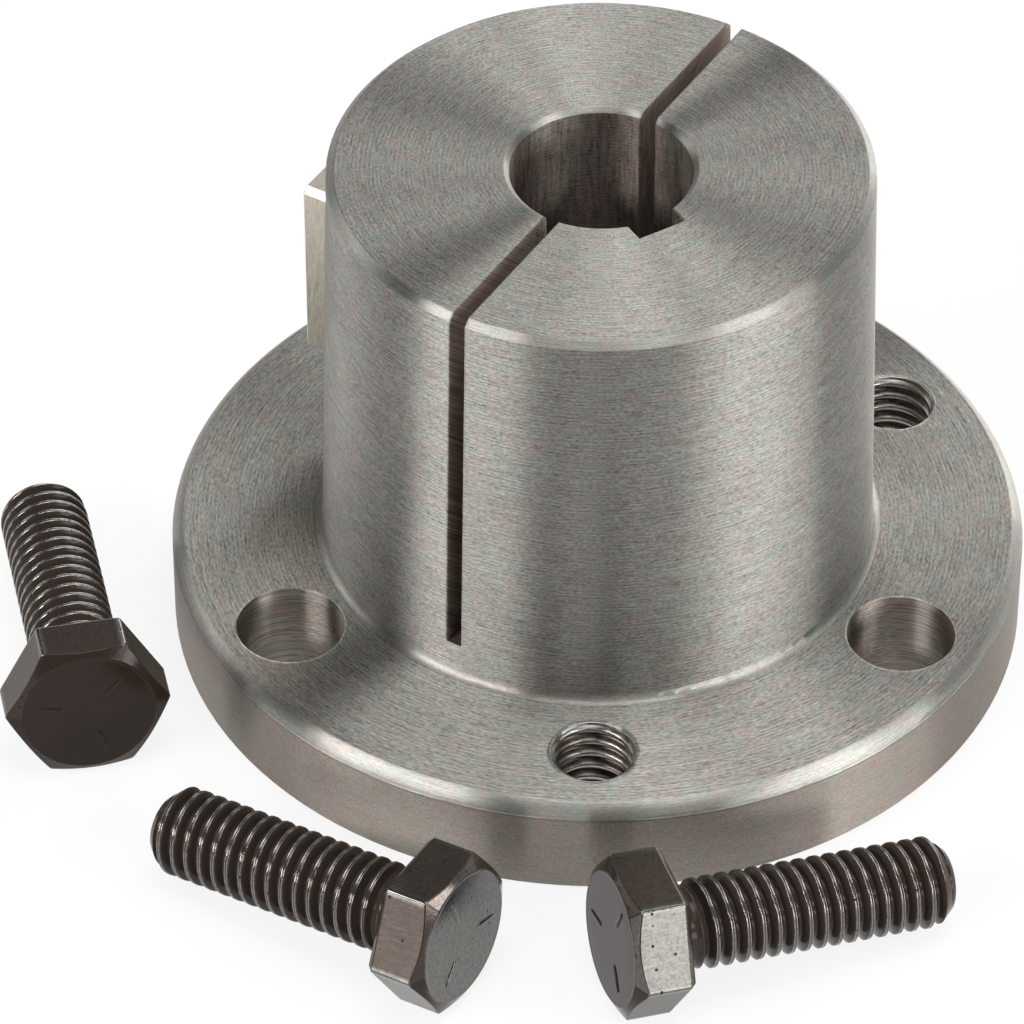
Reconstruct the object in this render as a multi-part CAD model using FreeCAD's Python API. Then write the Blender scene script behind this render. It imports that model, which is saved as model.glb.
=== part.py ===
import FreeCAD, Part
import math
import os

# Quick disconnect bushing: a flange with a split taper barrel, the key set in the barrel's side,
# and the three cap screws that draw it into a hub, lying loose around the flange.
# Lengths are in millimetres and angles in degrees, counted from +X towards +Y.
# The bore runs up the Z axis, and the flange's underside lies on Z = 0.

INCH = 25.4

# Flange
FLANGE_DIAMETER = 3 * INCH
FLANGE_THICKNESS = 0.375 * INCH
FLANGE_EDGE_WIDTH = 1.0
FLANGE_EDGE_DROP = 1.35
FLANGE_EDGE_CROWN_HEIGHT = 0.15
FLANGE_LOWER_CHAMFER = 0.25

# Taper barrel, with a small round at its foot
OVERALL_LENGTH = 1.9375 * INCH
BARREL_FOOT_DIAMETER = 1.94 * INCH
BARREL_TIP_DIAMETER = 1.86 * INCH
BARREL_TIP_CHAMFER = 0.65
BARREL_FOOT_ROUND = 0.75

# Bore and its keyway
BORE_DIAMETER = 0.625 * INCH
BORE_CHAMFER = 0.45
KEYWAY_WIDTH = 0.1875 * INCH
KEYWAY_DEPTH = 2.0
KEYWAY_ANGLE = 302.5

# Saw slit across the barrel, which stops above the flange
SLIT_WIDTH = 1.5
SLIT_ANGLE = 60.0
SLIT_END_ABOVE_FLANGE = 3.5

# Key in the barrel's side, square to the slit
KEY_WIDTH = 0.3125 * INCH
KEY_HEIGHT = 0.3125 * INCH
KEY_LENGTH = 18.45
KEY_END_CHAMFER = 0.57
KEY_FACE_CHAMFER = 0.15
KEY_SEAT_DEPTH = 4.5
KEY_ABOVE_FLANGE = 9.8

# Cap screws
SCREW_DIAMETER = 0.3125 * INCH
SCREW_LENGTH = 1.0 * INCH
SCREW_POINT_LENGTH = 1.5
SCREW_POINT_TAPER = 1.3
HEAD_ACROSS_FLATS = 0.5 * INCH
HEAD_HEIGHT = 0.203 * INCH
HEAD_FACE_DIAMETER = 11.7
HEAD_CHAMFER_ANGLE = 30.0
HEAD_UNDERSIDE_CHAMFER = 0.5

# Holes in the flange: plain ones pass the screws, and tapped ones between them take the same screws.
# The place between them that faces the key has no hole.
BOLT_CIRCLE_DIAMETER = 2.4375 * INCH
SCREW_HOLE_CLEARANCE = 1.65
CLEARANCE_HOLE_ANGLES = (90.0, 210.0, 330.0)
JACKING_HOLE_ANGLES = (30.0, 270.0)

# Where the screws lie: the angle of each one's middle around the bore, the heading of its shank, counted
# from the outward direction, and how far its head's corners stay from the flange's rim
NEAR_RIM_GAP = 2.75
FAR_RIM_GAP = 3.5
SCREW_ANGLES = (191.0, 241.1, 289.3)
SCREW_HEADING_ANGLES = (-88.7, -92.4, 91.3)
SCREW_RIM_GAPS = (NEAR_RIM_GAP, FAR_RIM_GAP, NEAR_RIM_GAP)

# How far a cutting tool runs past the faces that it cuts
TOOL_OVERRUN = 1.0

ORIGIN = FreeCAD.Vector(0, 0, 0)
AXIS_Y = FreeCAD.Vector(0, 1, 0)
AXIS_Z = FreeCAD.Vector(0, 0, 1)


def polar(radius, angle, height=0.0):
    """A point at a radius and an angle around the bore."""
    turn = math.radians(angle)
    return FreeCAD.Vector(radius * math.cos(turn), radius * math.sin(turn), height)


def half_section(*points):
    """The straight edges through (radius, height) points of a half section in the XZ plane."""
    places = [FreeCAD.Vector(radius, 0, height) for radius, height in points]
    return [Part.makeLine(start, end) for start, end in zip(places, places[1:])]


def turned(edges):
    """The solid that a closed half section sweeps around Z."""
    face = Part.Face(Part.Wire(edges))
    return face.revolve(ORIGIN, AXIS_Z, 360)


def slab(width, near, far, bottom, top, angle):
    """A box of a given width that reaches from near to far of the bore's axis, at an angle."""
    corner = FreeCAD.Vector(near, -width / 2, bottom)
    box = Part.makeBox(far - near, width, top - bottom, corner)
    box.rotate(ORIGIN, AXIS_Z, angle)
    return box


# Bushing body

def barrel_slope():
    """How much the barrel's radius shrinks for each millimetre of height."""
    shrink = (BARREL_FOOT_DIAMETER - BARREL_TIP_DIAMETER) / 2
    return shrink / (OVERALL_LENGTH - FLANGE_THICKNESS)


def barrel_radius(height):
    """The radius of the taper at a height."""
    return BARREL_FOOT_DIAMETER / 2 - (height - FLANGE_THICKNESS) * barrel_slope()


def foot_round():
    """The arc between the flange's face and the taper, with its ends as (radius, height)."""
    lean = math.atan(barrel_slope())
    centre_height = FLANGE_THICKNESS + BARREL_FOOT_ROUND
    upper_height = centre_height - BARREL_FOOT_ROUND * math.sin(lean)
    centre_radius = barrel_radius(upper_height) + BARREL_FOOT_ROUND * math.cos(lean)
    middle_turn = math.radians(225) + lean / 2
    middle = FreeCAD.Vector(
        centre_radius + BARREL_FOOT_ROUND * math.cos(middle_turn),
        0,
        centre_height + BARREL_FOOT_ROUND * math.sin(middle_turn),
    )
    lower = FreeCAD.Vector(centre_radius, 0, FLANGE_THICKNESS)
    upper = FreeCAD.Vector(barrel_radius(upper_height), 0, upper_height)
    arc = Part.Arc(lower, middle, upper).toShape()
    return (lower.x, lower.z), arc, (upper.x, upper.z)


def flange_edge():
    """The bulging bevel around the flange's upper edge, with its ends as (radius, height)."""
    rim = FLANGE_DIAMETER / 2
    lower = FreeCAD.Vector(rim, 0, FLANGE_THICKNESS - FLANGE_EDGE_DROP)
    upper = FreeCAD.Vector(rim - FLANGE_EDGE_WIDTH, 0, FLANGE_THICKNESS)
    outward = FreeCAD.Vector(FLANGE_EDGE_DROP, 0, FLANGE_EDGE_WIDTH).normalize()
    middle = (lower + upper) / 2 + outward * FLANGE_EDGE_CROWN_HEIGHT
    arc = Part.Arc(lower, middle, upper).toShape()
    return (lower.x, lower.z), arc, (upper.x, upper.z)


def turned_blank():
    """Flange, barrel and bore, as they come off the lathe."""
    rim = FLANGE_DIAMETER / 2
    bore = BORE_DIAMETER / 2
    tip = BARREL_TIP_DIAMETER / 2
    edge_lower, edge_arc, edge_upper = flange_edge()
    lower, arc, upper = foot_round()
    shoulder = OVERALL_LENGTH - BARREL_TIP_CHAMFER
    rim_edges = half_section(
        (bore, BORE_CHAMFER),
        (bore + BORE_CHAMFER, 0),
        (rim - FLANGE_LOWER_CHAMFER, 0),
        (rim, FLANGE_LOWER_CHAMFER),
        edge_lower,
    )
    flange_face = half_section(edge_upper, lower)
    barrel = half_section(
        upper,
        (barrel_radius(shoulder), shoulder),
        (tip - BARREL_TIP_CHAMFER, OVERALL_LENGTH),
        (bore + BORE_CHAMFER, OVERALL_LENGTH),
        (bore, OVERALL_LENGTH - BORE_CHAMFER),
        (bore, BORE_CHAMFER),
    )
    return turned(rim_edges + [edge_arc] + flange_face + [arc] + barrel)


def saw_slit():
    """The slit's cut, right across the barrel."""
    reach = FLANGE_DIAMETER / 2
    end = FLANGE_THICKNESS + SLIT_END_ABOVE_FLANGE
    return slab(SLIT_WIDTH, -reach, reach, end, OVERALL_LENGTH + TOOL_OVERRUN, SLIT_ANGLE)


def keyway():
    """The broached keyway along the bore."""
    floor = BORE_DIAMETER / 2 + KEYWAY_DEPTH
    top = OVERALL_LENGTH + TOOL_OVERRUN
    return slab(KEYWAY_WIDTH, 0, floor, -TOOL_OVERRUN, top, KEYWAY_ANGLE)


def key_place():
    """The key's floor radius, lower end and angle, which its seat shares."""
    floor = BARREL_FOOT_DIAMETER / 2 - KEY_SEAT_DEPTH
    return floor, FLANGE_THICKNESS + KEY_ABOVE_FLANGE, SLIT_ANGLE + 90


def key_seat():
    """The pocket that holds the key face to face, open outwards."""
    floor, bottom, angle = key_place()
    return slab(KEY_WIDTH, floor, FLANGE_DIAMETER / 2, bottom, bottom + KEY_LENGTH, angle)


def flange_holes(diameter, angles):
    """Holes through the flange on the bolt circle."""
    depth = FLANGE_THICKNESS + 2 * TOOL_OVERRUN
    holes = []
    for angle in angles:
        start = polar(BOLT_CIRCLE_DIAMETER / 2, angle, -TOOL_OVERRUN)
        holes.append(Part.makeCylinder(diameter / 2, depth, start, AXIS_Z))
    return holes


def bushing_body():
    """The bushing itself, one piece of steel."""
    cuts = [saw_slit(), keyway(), key_seat()]
    cuts += flange_holes(SCREW_DIAMETER + SCREW_HOLE_CLEARANCE, CLEARANCE_HOLE_ANGLES)
    cuts += flange_holes(SCREW_DIAMETER, JACKING_HOLE_ANGLES)
    return turned_blank().cut(cuts)


# Barrel key

def barrel_key():
    """The square key that seats in the barrel and stands proud of it, bevelled at its ends."""
    floor, bottom, angle = key_place()
    face = floor + KEY_HEIGHT
    key = slab(KEY_WIDTH, floor, face, bottom, bottom + KEY_LENGTH, 0)
    end_edges = [edge for edge in key.Edges if edge.BoundBox.XLength > KEY_HEIGHT / 2]
    key = key.makeChamfer(KEY_END_CHAMFER, end_edges)
    face_edges = [edge for edge in key.Edges if edge.BoundBox.XMin > face - KEY_HEIGHT / 2]
    key = key.makeChamfer(KEY_FACE_CHAMFER, face_edges)
    key.rotate(ORIGIN, AXIS_Z, angle)
    return key


# Cap screws, first modelled upright with the shank down and the head's underside on Z = 0

def screw_shank():
    """The threaded shank at its outer diameter, with its tapered point."""
    radius = SCREW_DIAMETER / 2
    point = radius - SCREW_POINT_TAPER
    return turned(half_section(
        (0, 0),
        (0, -SCREW_LENGTH),
        (point, -SCREW_LENGTH),
        (radius, SCREW_POINT_LENGTH - SCREW_LENGTH),
        (radius, 0),
        (0, 0),
    ))


def head_corner_radius():
    """From the axis to a corner of the hexagon."""
    return HEAD_ACROSS_FLATS / 2 / math.cos(math.radians(30))


def head_crown():
    """The turned shape whose cone bevels the hexagon's upper corners."""
    face = HEAD_FACE_DIAMETER / 2
    reach = head_corner_radius() + TOOL_OVERRUN
    drop = (reach - face) * math.tan(math.radians(HEAD_CHAMFER_ANGLE))
    return turned(half_section(
        (0, 0),
        (reach, 0),
        (reach, HEAD_HEIGHT - drop),
        (face, HEAD_HEIGHT),
        (0, HEAD_HEIGHT),
        (0, 0),
    ))


def screw_head():
    """The hexagon, bevelled around its top by a cone and along its lower edges."""
    corners = [polar(head_corner_radius(), 30 + 60 * index) for index in range(6)]
    outline = Part.Face(Part.makePolygon(corners + corners[:1]))
    hexagon = outline.extrude(FreeCAD.Vector(0, 0, HEAD_HEIGHT))
    lower_edges = [edge for edge in hexagon.Edges if edge.BoundBox.ZMax < HEAD_HEIGHT / 2]
    hexagon = hexagon.makeChamfer(HEAD_UNDERSIDE_CHAMFER, lower_edges)
    return hexagon.common(head_crown())


def resting_tilt():
    """How far a screw's axis tips down from level when a flat of its head lies on the floor."""
    rise = (HEAD_ACROSS_FLATS - SCREW_DIAMETER) / 2
    run = SCREW_LENGTH - SCREW_POINT_LENGTH + HEAD_UNDERSIDE_CHAMFER
    return math.degrees(math.atan2(rise, run))


def lying_screw(angle, rim_gap, heading):
    """A screw at rest on the floor beside the flange."""
    screw = screw_head().fuse(screw_shank()).removeSplitter()
    screw.translate(FreeCAD.Vector(0, 0, (SCREW_LENGTH - HEAD_HEIGHT) / 2))
    screw.rotate(ORIGIN, AXIS_Y, -90 + resting_tilt())
    screw.rotate(ORIGIN, AXIS_Z, angle + heading)
    middle = polar(FLANGE_DIAMETER / 2 + rim_gap + head_corner_radius(), angle)
    middle.z = -screw.BoundBox.ZMin
    screw.translate(middle)
    return screw


def cap_screws():
    """The loose cap screws, as one group."""
    places = zip(SCREW_ANGLES, SCREW_RIM_GAPS, SCREW_HEADING_ANGLES)
    return Part.makeCompound([lying_screw(*place) for place in places])


PIECES = {
    "bushing_body": bushing_body,
    "barrel_key": barrel_key,
    "cap_screws": cap_screws,
}

os.makedirs("parts", exist_ok=True)
for name, make in PIECES.items():
    make().exportStep("parts/" + name + ".step")
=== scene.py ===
"""Looks of the quick disconnect bushing, laid out as a Blender add-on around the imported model.

Lengths in the plans are in metres and angles in radians. Mesh functions work in millimetres, as the
solids do, and turn their points into metres at the end.
"""
from typing import NamedTuple

import bpy
import numpy as np
from bpy.props import FloatProperty, FloatVectorProperty, IntProperty, PointerProperty
from bpy.types import Operator, Panel, PropertyGroup
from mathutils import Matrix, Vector


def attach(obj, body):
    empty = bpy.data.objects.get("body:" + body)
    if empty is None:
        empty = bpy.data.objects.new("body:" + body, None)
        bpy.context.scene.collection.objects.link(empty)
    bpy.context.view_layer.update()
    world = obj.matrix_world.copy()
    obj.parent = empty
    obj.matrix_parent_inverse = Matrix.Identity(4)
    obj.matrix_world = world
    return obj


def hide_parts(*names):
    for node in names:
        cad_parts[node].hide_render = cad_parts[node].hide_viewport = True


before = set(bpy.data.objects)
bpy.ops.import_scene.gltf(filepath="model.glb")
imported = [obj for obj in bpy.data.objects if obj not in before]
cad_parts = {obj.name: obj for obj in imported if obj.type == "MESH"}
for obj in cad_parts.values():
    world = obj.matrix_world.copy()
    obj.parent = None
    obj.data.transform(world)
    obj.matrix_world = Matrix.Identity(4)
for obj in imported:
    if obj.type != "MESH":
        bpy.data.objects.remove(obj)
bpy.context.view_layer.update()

bl_info = {
    "name": "Quick Disconnect Bushing",
    "version": (1, 0, 0),
    "blender": (4, 5, 0),
    "location": "3D View > Sidebar > Bushing",
    "description": "Finishes a turned steel bushing, its key, its tapped holes and its cap screws",
    "category": "Object",
}

MM = 0.001
INCH = 25.4
TURN = 2 * np.pi

# The solids' own sizes, in millimetres and degrees, which the added pieces and the finishes follow
FLANGE_RADIUS = 1.5 * INCH
FLANGE_THICKNESS = 0.375 * INCH
FLANGE_EDGE_WIDTH = 1.0
FLANGE_EDGE_DROP = 1.35
BARREL_HEIGHT = 1.9375 * INCH
FOOT_RADIUS = 0.97 * INCH
FOOT_ROUND = 0.75
TIP_RADIUS = 0.93 * INCH
TIP_CHAMFER = 0.65
BORE_RADIUS = 0.3125 * INCH
BORE_CHAMFER = 0.45
BOLT_CIRCLE_RADIUS = 1.21875 * INCH
CLEARANCE_RADIUS = 4.79375
CLEARANCE_ANGLES = (90, 210, 330)
JACKING_ANGLES = (30, 270)
SLIT_ANGLE = 60
SLIT_HALF_WIDTH = 0.75
SLIT_END_ABOVE_FLANGE = 3.5
SLIT_END = FLANGE_THICKNESS + SLIT_END_ABOVE_FLANGE
SCREW_RADIUS = 0.15625 * INCH
SCREW_LENGTH = INCH
POINT_LENGTH = 1.5
POINT_RADIUS = SCREW_RADIUS - 1.3
HEAD_ACROSS_FLATS = 0.5 * INCH
HEAD_HEIGHT = 0.203 * INCH
HEAD_FACE_RADIUS = 5.85
HEAD_FACE_SLOPE = np.tan(np.radians(30))
HEAD_UNDERSIDE_BEVEL = 0.5

# How the tapped holes' linings fit the solid holes, in millimetres: the gap to the wall, the gap to the
# flange's faces and the lips' thickness. Then the angles of the points around each hole, in radians
WALL_GAP = 0.004
FACE_GAP = 0.02
LIP_THICKNESS = 0.04
HOLE_TURNS = np.linspace(0, TURN, 96, endpoint=False)


class ScrewPlace(NamedTuple):
    """Where one screw lies, and how much of its oxide is rubbed off, from 0 to 1: partly real wear,
    partly painted sheen and glints set face by face to lighten the head's face, two flats and the
    crests.
    """
    angle: float  # of its middle around the bushing, in degrees
    rim_gap: float  # from the flange's rim to its head's corners, in millimetres
    heading: float  # of its shank, in degrees from the outward direction
    dash_turn: float  # of the dashes on its head, in degrees
    face_wear_and_sheen: float
    upper_wear_and_sheen: float
    near_flat: int  # the angle of the flat that faces the camera, in degrees
    near_wear_and_sheen: float
    crest_wear_and_glint: float


SCREW_PLACES = (
    ScrewPlace(angle=191.0, rim_gap=2.75, heading=-88.7, dash_turn=77.0, face_wear_and_sheen=0.0,
               upper_wear_and_sheen=0.05, near_flat=60, near_wear_and_sheen=0.07, crest_wear_and_glint=0.95),
    ScrewPlace(angle=241.1, rim_gap=3.5, heading=-92.4, dash_turn=15.0, face_wear_and_sheen=0.37,
               upper_wear_and_sheen=0.2, near_flat=60, near_wear_and_sheen=0.1, crest_wear_and_glint=0.6),
    ScrewPlace(angle=289.3, rim_gap=2.75, heading=91.3, dash_turn=100.0, face_wear_and_sheen=0.0,
               upper_wear_and_sheen=0.19, near_flat=300, near_wear_and_sheen=0.3, crest_wear_and_glint=0.6),
)


# Sizes and colours a user would change

class StagePlan(PropertyGroup):
    camera_place: FloatVectorProperty(
        name="Camera place", description="Where the camera stands",
        default=(0.001554, -0.446947, 0.409571), subtype="TRANSLATION", unit="LENGTH")
    camera_pitch: FloatProperty(
        name="Camera pitch", description="How far the camera looks down from level",
        default=np.radians(41.836), subtype="ANGLE", unit="ROTATION")
    camera_yaw: FloatProperty(
        name="Camera yaw", description="How far the camera turns to its left from +Y",
        default=np.radians(1.1796), subtype="ANGLE", unit="ROTATION")
    focal_length: FloatProperty(
        name="Focal length", description="On a 36 mm sensor, in millimetres", default=235.36)
    floor_width: FloatProperty(
        name="Floor width", description="Side of the square floor",
        default=8.0, unit="LENGTH")
    floor_colour: FloatVectorProperty(
        name="Floor colour", description="The floor's paint",
        default=(0.9, 0.9, 0.9), subtype="COLOR")
    floor_glow: FloatProperty(
        name="Floor glow", description="How much of what is seen is the floor's own white light",
        default=0.85)
    ceiling_light: FloatProperty(
        name="Ceiling light", description="How bright the room is above the lamps", default=0.06)


class SteelPlan(PropertyGroup):
    steel_colour: FloatVectorProperty(
        name="Steel colour", description="Freshly turned steel",
        default=(0.376, 0.366, 0.341), subtype="COLOR")
    roughness: FloatProperty(
        name="Roughness", description="How dull the turned steel is", default=0.47)
    grain: FloatProperty(
        name="Grain", description="How strongly the turning marks show", default=0.58)
    # The rim's and the clearance holes' colour: duller, browner steel as cut, darkened further as
    # painted shade for the shaded floor the rim mirrors and the shade in the holes
    rim_colour_and_shade: FloatVectorProperty(
        name="Rim colour", description="The flange's rim, which is duller and browner",
        default=(0.33, 0.29, 0.26), subtype="COLOR")
    # Brighter and browner than the turned steel: painted light that lifts the shade on the slit's walls
    slit_lifted_colour: FloatVectorProperty(
        name="Slit colour", description="Sawn steel on the slit's walls",
        default=(0.42, 0.34, 0.30), subtype="COLOR")
    # Darker and browner than the turned steel: painted shade in the bore
    bore_shade_colour: FloatVectorProperty(
        name="Bore colour", description="Oily steel in the bore",
        default=(0.25, 0.21, 0.185), subtype="COLOR")
    key_colour: FloatVectorProperty(
        name="Key colour", description="Drawn key steel, slightly tan",
        default=(0.60, 0.55, 0.465), subtype="COLOR")
    # Painted shade: the tapped threads darken towards the bottoms of their grooves
    groove_shade_colour: FloatVectorProperty(
        name="Groove colour", description="Oily steel down in the tapped threads",
        default=(0.13, 0.10, 0.085), subtype="COLOR")


class ThreadPlan(PropertyGroup):
    pitch: FloatProperty(
        name="Pitch", description="From one crest of the thread to the next",
        default=INCH / 18 * MM, unit="LENGTH")
    crest_radius: FloatProperty(
        name="Crest radius", description="The tapped thread's inner radius",
        default=3.3 * MM, unit="LENGTH")
    groove_radius: FloatProperty(
        name="Groove radius", description="The tapped thread's outer radius",
        default=3.88 * MM, unit="LENGTH")
    mouth_depth: FloatProperty(
        name="Mouth depth", description="How deep the countersink at each end reaches",
        default=0.45 * MM, unit="LENGTH")
    lip_radius: FloatProperty(
        name="Lip radius", description="The mouth's radius at the flange's faces",
        default=3.7 * MM, unit="LENGTH")
    rows: IntProperty(
        name="Rows", description="Rows of points in each pitch", default=28)


class ScrewPlan(PropertyGroup):
    crest_radius: FloatProperty(
        name="Crest radius", description="The rolled thread's outer radius",
        default=3.95 * MM, unit="LENGTH")
    root_radius: FloatProperty(
        name="Root radius", description="The rolled thread's inner radius",
        default=3.08 * MM, unit="LENGTH")
    neck_radius: FloatProperty(
        name="Neck radius", description="The plain neck below the head",
        default=3.5 * MM, unit="LENGTH")
    corner_round: FloatProperty(
        name="Corner round", description="Radius on the hexagon's corners",
        default=0.3 * MM, unit="LENGTH")
    oxide_colour: FloatVectorProperty(
        name="Oxide colour", description="Oiled black oxide",
        default=(0.022, 0.0145, 0.0105), subtype="COLOR")
    worn_colour: FloatVectorProperty(
        name="Worn colour", description="Steel that shows where the oxide is rubbed thin",
        default=(0.33, 0.335, 0.315), subtype="COLOR")
    # Painted light: the thread's oxide is lighter than the head's, standing in for the light its
    # valleys lack
    thread_lifted_colour: FloatVectorProperty(
        name="Thread colour", description="Drier oxide on the thread",
        default=(0.046, 0.033, 0.027), subtype="COLOR")
    brown_colour: FloatVectorProperty(
        name="Brown colour", description="The same steel under a thin brown film",
        default=(0.34, 0.285, 0.255), subtype="COLOR")
    pit_colour: FloatVectorProperty(
        name="Pit colour", description="The bottom of the small pits in worn flats",
        default=(0.010, 0.007, 0.006), subtype="COLOR")
    oil_index: FloatProperty(
        name="Oil index", description="Refractive index of the oil, which sets its shine",
        default=1.26)


def compass(angle, height=0.0):
    """A level direction at an angle from +X, in degrees, lifted by an angle above the horizon."""
    turn, lift = np.radians(angle), np.radians(height)
    return Vector((np.cos(turn) * np.cos(lift), np.sin(turn) * np.cos(lift), np.sin(lift)))


# Meshes from whole arrays of points

def shell(points, poles=None):
    """A mesh from a grid of points in millimetres, closed around its columns.

    points is rows by columns by 3. With two poles, the first and last rows close on them. Without,
    the last row joins the first one. Faces point outwards where columns run anticlockwise and rows
    run upwards.
    """
    rows, columns = points.shape[:2]
    index = np.arange(rows * columns).reshape(rows, columns)
    across = np.roll(index, -1, axis=1)
    if poles is None:
        lower, lower_across = index, across
        upper, upper_across = np.roll(index, -1, axis=0), np.roll(across, -1, axis=0)
    else:
        lower, lower_across = index[:-1], across[:-1]
        upper, upper_across = index[1:], across[1:]
    quads = np.stack([lower, lower_across, upper_across, upper], axis=-1).reshape(-1, 4)
    corners = points.reshape(-1, 3)
    triangles = np.empty((0, 3), int)
    if poles is not None:
        first, last = len(corners), len(corners) + 1
        corners = np.vstack([corners, poles])
        under = np.stack([np.full(columns, first), across[0], index[0]], axis=-1)
        over = np.stack([np.full(columns, last), index[-1], across[-1]], axis=-1)
        triangles = np.vstack([under, over])
    return corners, quads, triangles


def joined(shells):
    """Several shells' corners, quads and triangles as one."""
    starts = np.cumsum([0] + [len(corners) for corners, _, _ in shells[:-1]])
    return (
        np.vstack([corners for corners, _, _ in shells]),
        np.vstack([quads + start for (_, quads, _), start in zip(shells, starts)]),
        np.vstack([triangles + start for (_, _, triangles), start in zip(shells, starts)]),
    )


def solid_object(name, parts, material):
    """A smooth object from corners in millimetres, quads and triangles."""
    corners, quads, triangles = parts
    mesh = bpy.data.meshes.new(name)
    mesh.vertices.add(len(corners))
    mesh.vertices.foreach_set("co", (corners * MM).astype(np.float32).ravel())
    loops = np.concatenate([quads.ravel(), triangles.ravel()]).astype(np.int32)
    sizes = np.concatenate([np.full(len(quads), 4), np.full(len(triangles), 3)])
    mesh.loops.add(len(loops))
    mesh.loops.foreach_set("vertex_index", loops)
    mesh.polygons.add(len(sizes))
    starts = np.concatenate([[0], np.cumsum(sizes)[:-1]]).astype(np.int32)
    mesh.polygons.foreach_set("loop_start", starts)
    mesh.update(calc_edges=True)
    if mesh.validate():
        raise RuntimeError(name + " has faces that Blender had to mend")
    mesh.shade_smooth()
    mesh.materials.append(material)
    made = bpy.data.objects.new(name, mesh)
    bpy.context.scene.collection.objects.link(made)
    return made


def step(value, start, end):
    """0 below start, 1 above end, and a smooth curve between: 3 t² - 2 t³."""
    share = np.clip((value - start) / (end - start), 0, 1)
    return share * share * (3 - 2 * share)


def crest_distance(around, height, pitch):
    """How far a point is from the nearest crest of a right-hand thread, in pitches, 0 to 0.5.

    Crests lie where height / pitch - angle / 360 degrees is a whole number.
    """
    phase = height / pitch - around / TURN
    return np.abs(phase - np.round(phase))


# Tapped holes

def around_hole(angle, radius, height):
    """Points about the hole at an angle around the bore: its axis plus radius times (cos t, sin t)."""
    centre = np.radians(angle)
    return np.stack(np.broadcast_arrays(
        BOLT_CIRCLE_RADIUS * np.cos(centre) + radius * np.cos(HOLE_TURNS),
        BOLT_CIRCLE_RADIUS * np.sin(centre) + radius * np.sin(HOLE_TURNS),
        height,
    ), axis=-1)


def tapped_thread(plan, angle):
    """The threaded lining of one tapped hole, as a closed ring of wall.

    The section runs down the thread, out along the lower end, up the outer wall and in along the
    upper end. The thread's radius is the crest radius plus the depth times a smooth step of the
    distance from the crest, and never less than the countersink's cone at either end. The outermost
    bit of each end is the plain cone.
    """
    pitch = plan.pitch / MM
    crest, groove = plan.crest_radius / MM, plan.groove_radius / MM
    mouth, lip = plan.mouth_depth / MM, plan.lip_radius / MM
    crest_half, groove_start = 0.07, 0.44
    plain_cone, below_crest = 0.12, 0.1
    top = FLANGE_THICKNESS - FACE_GAP
    count = int(plan.rows * FLANGE_THICKNESS / pitch)
    height = np.linspace(top, FACE_GAP, count)[:, None]
    depth = step(crest_distance(HOLE_TURNS, height, pitch), crest_half, groove_start)
    radius = crest + (groove - crest) * depth
    end_gap = np.minimum(height - FACE_GAP, top - height)
    cone = lip - (lip - crest + below_crest) * end_gap / mouth
    radius = np.where(end_gap < plain_cone, cone, np.maximum(radius, cone))
    wall_height = np.array([FACE_GAP, FLANGE_THICKNESS / 2, top])[:, None]
    wall_radius = np.full((len(wall_height), len(HOLE_TURNS)), SCREW_RADIUS - WALL_GAP)
    radius, height = np.vstack([radius, wall_radius]), np.vstack([height, wall_height])
    return shell(around_hole(angle, radius, height))


def hole_lip(plan, angle, top):
    """The flat ring around one mouth, level with the flange's top or bottom: a thin closed band."""
    face, inward = (FLANGE_THICKNESS, -1) if top else (0, 1)
    lip, outer = plan.lip_radius / MM, SCREW_RADIUS - WALL_GAP
    back = face + inward * LIP_THICKNESS
    section = [(lip, face), (lip, back), (outer, back), (outer, face)]
    radius, height = np.array(section if top else section[::-1]).T
    return shell(around_hole(angle, radius[:, None], height[:, None]))


# Cap screws

def hexagon_radius(around, corner_round):
    """The hexagon's radius at each angle, with rounded corners at 30 degrees and every 60 more.

    On a flat it is half the width across flats over the cosine of the angle from the flat's middle.
    Near a corner it is the far side of the rounding circle.
    """
    from_corner = around % (np.pi / 3) - np.pi / 6
    flat = HEAD_ACROSS_FLATS / 2 / np.cos(np.pi / 6 - np.abs(from_corner))
    middle = (HEAD_ACROSS_FLATS / 2 - corner_round) / np.cos(np.pi / 6)
    limit = np.arctan2(corner_round / 2, middle + corner_round * np.cos(np.pi / 6))
    inside = np.maximum(corner_round ** 2 - (middle * np.sin(from_corner)) ** 2, 0)
    arc = middle * np.cos(from_corner) + np.sqrt(inside)
    return np.where(np.abs(from_corner) < limit, arc, flat)


def screw_columns():
    """Angles around a screw, close together at the hexagon's corners."""
    from_corner = np.array([0.5, 1.0, 1.4, 2.2, 4.0, 7.5, 11.5, 16.0, 21.0, 25.5])
    sector = np.concatenate([[-30.0], -from_corner[::-1], [0.0], from_corner])
    corners = 30 + 60 * np.arange(6)
    return np.radians((corners[:, None] + sector).ravel())


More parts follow.
